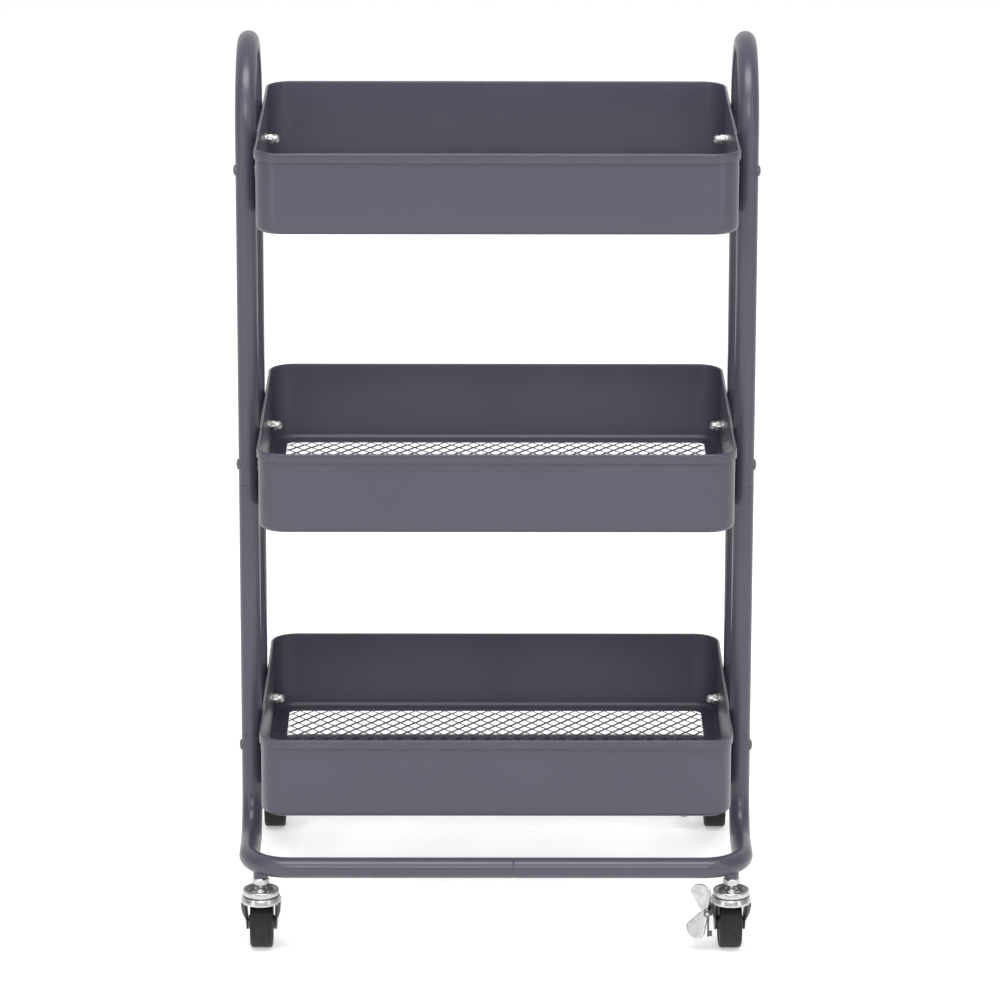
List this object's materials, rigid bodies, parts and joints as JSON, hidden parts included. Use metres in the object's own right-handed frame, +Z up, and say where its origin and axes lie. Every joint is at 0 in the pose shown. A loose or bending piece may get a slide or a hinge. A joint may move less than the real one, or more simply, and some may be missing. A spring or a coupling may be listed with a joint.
{
  "type": "rolling utility cart",
  "caption": "Open storage cart with stacked rectangular mesh-floor metal trays in a bent round-tube frame with hoop handles, on swivel casters with rocker brakes.",
  "frame": {"origin": "on the floor, under the middle of the frame of tube (the four wheels all trail to the back, so the bounding box reaches 15 mm further back than forward)", "axes": "+Z up, +Y to the back (the long sides face front and back), +X to the right; the two hoop handles are at the -X and +X ends"},
  "size_m": [0.451, 0.3814, 0.7799],
  "materials": {
    "frame_paint": "satin",
    "tray_paint": "satin",
    "bare_steel": "drawn tube",
    "dark_steel": "semi-gloss",
    "zinc_plate": "bright zinc plate",
    "black_fork": "black, semi-gloss",
    "hub_plastic": "moulded",
    "tyre_rubber": "matte"
  },
  "bodies": {
    "root": {"bar_joint_sleeves": "bare_steel", "base_front_left": "frame_paint", "base_front_right": "frame_paint", "base_rear_left": "frame_paint", "base_rear_right": "frame_paint", "caster_locknuts": "zinc_plate", "caster_sockets": "frame_paint", "caster_stems": "zinc_plate", "hoop_left": "frame_paint", "hoop_right": "frame_paint", "leg_front_left": "frame_paint", "leg_front_right": "frame_paint", "leg_joint_sleeves_lower": "bare_steel", "leg_joint_sleeves_upper": "bare_steel", "leg_rear_left": "frame_paint", "leg_rear_right": "frame_paint", "leg_saddles": "dark_steel", "mesh_floor_bottom": "tray_paint", "mesh_floor_middle": "tray_paint", "mesh_floor_top": "tray_paint", "race_balls": "zinc_plate", "tray_bolts": "dark_steel", "tray_bottom": "tray_paint", "tray_middle": "tray_paint", "tray_nuts": "zinc_plate", "tray_top": "tray_paint", "tray_washers": "zinc_plate"},
    "swivel_front_left": {"raceway_ring_front_left": "zinc_plate", "fork_front_left": "black_fork", "axle_front_left": "zinc_plate"},
    "wheel_front_left": {"hub_front_left": "hub_plastic", "tyre_front_left": "tyre_rubber"},
    "swivel_front_right": {"raceway_ring_front_right": "zinc_plate", "fork_front_right": "black_fork", "axle_front_right": "zinc_plate", "brake_bracket_front_right": "black_fork", "brake_pin_front_right": "zinc_plate"},
    "wheel_front_right": {"hub_front_right": "hub_plastic", "tyre_front_right": "tyre_rubber"},
    "brake_front_right": {"brake_lever_front_right": "zinc_plate", "brake_shoe_front_right": "black_fork"},
    "swivel_rear_left": {"raceway_ring_rear_left": "zinc_plate", "fork_rear_left": "black_fork", "axle_rear_left": "zinc_plate"},
    "wheel_rear_left": {"hub_rear_left": "hub_plastic", "tyre_rear_left": "tyre_rubber"},
    "swivel_rear_right": {"raceway_ring_rear_right": "zinc_plate", "fork_rear_right": "black_fork", "axle_rear_right": "zinc_plate", "brake_bracket_rear_right": "black_fork", "brake_pin_rear_right": "zinc_plate"},
    "wheel_rear_right": {"hub_rear_right": "hub_plastic", "tyre_rear_right": "tyre_rubber"},
    "brake_rear_right": {"brake_lever_rear_right": "zinc_plate", "brake_shoe_rear_right": "black_fork"}
  },
  "joints": [
    {"name": "swivel_turn_front_left", "type": "hinge", "parent": "root", "child": "swivel_front_left", "pos_m": [-0.20396, -0.16346, 0.0478], "axis": [0, 0, 1], "continuous": true},
    {"name": "wheel_roll_front_left", "type": "hinge", "parent": "swivel_front_left", "child": "wheel_front_left", "pos_m": [-0.20396, -0.15046, 0.022], "axis": [1, 0, 0], "continuous": true},
    {"name": "swivel_turn_front_right", "type": "hinge", "parent": "root", "child": "swivel_front_right", "pos_m": [0.20396, -0.16346, 0.0478], "axis": [0, 0, 1], "continuous": true},
    {"name": "wheel_roll_front_right", "type": "hinge", "parent": "swivel_front_right", "child": "wheel_front_right", "pos_m": [0.2035, -0.15046, 0.022], "axis": [0.9994, 0.0349, 0], "continuous": true},
    {"name": "brake_rock_front_right", "type": "hinge", "parent": "swivel_front_right", "child": "brake_front_right", "pos_m": [0.18277, -0.1642, 0.037], "axis": [0.0349, -0.9994, 0], "range_deg": [0, 18]},
    {"name": "swivel_turn_rear_left", "type": "hinge", "parent": "root", "child": "swivel_rear_left", "pos_m": [-0.20396, 0.16346, 0.0478], "axis": [0, 0, 1], "continuous": true},
    {"name": "wheel_roll_rear_left", "type": "hinge", "parent": "swivel_rear_left", "child": "wheel_rear_left", "pos_m": [-0.20396, 0.17646, 0.022], "axis": [1, 0, 0], "continuous": true},
    {"name": "swivel_turn_rear_right", "type": "hinge", "parent": "root", "child": "swivel_rear_right", "pos_m": [0.20396, 0.16346, 0.0478], "axis": [0, 0, 1], "continuous": true},
    {"name": "wheel_roll_rear_right", "type": "hinge", "parent": "swivel_rear_right", "child": "wheel_rear_right", "pos_m": [0.20396, 0.17646, 0.022], "axis": [1, 0, 0], "continuous": true},
    {"name": "brake_rock_rear_right", "type": "hinge", "parent": "swivel_rear_right", "child": "brake_rear_right", "pos_m": [0.18276, 0.16346, 0.037], "axis": [0, -1, 0], "range_deg": [0, 18]}
  ]
}
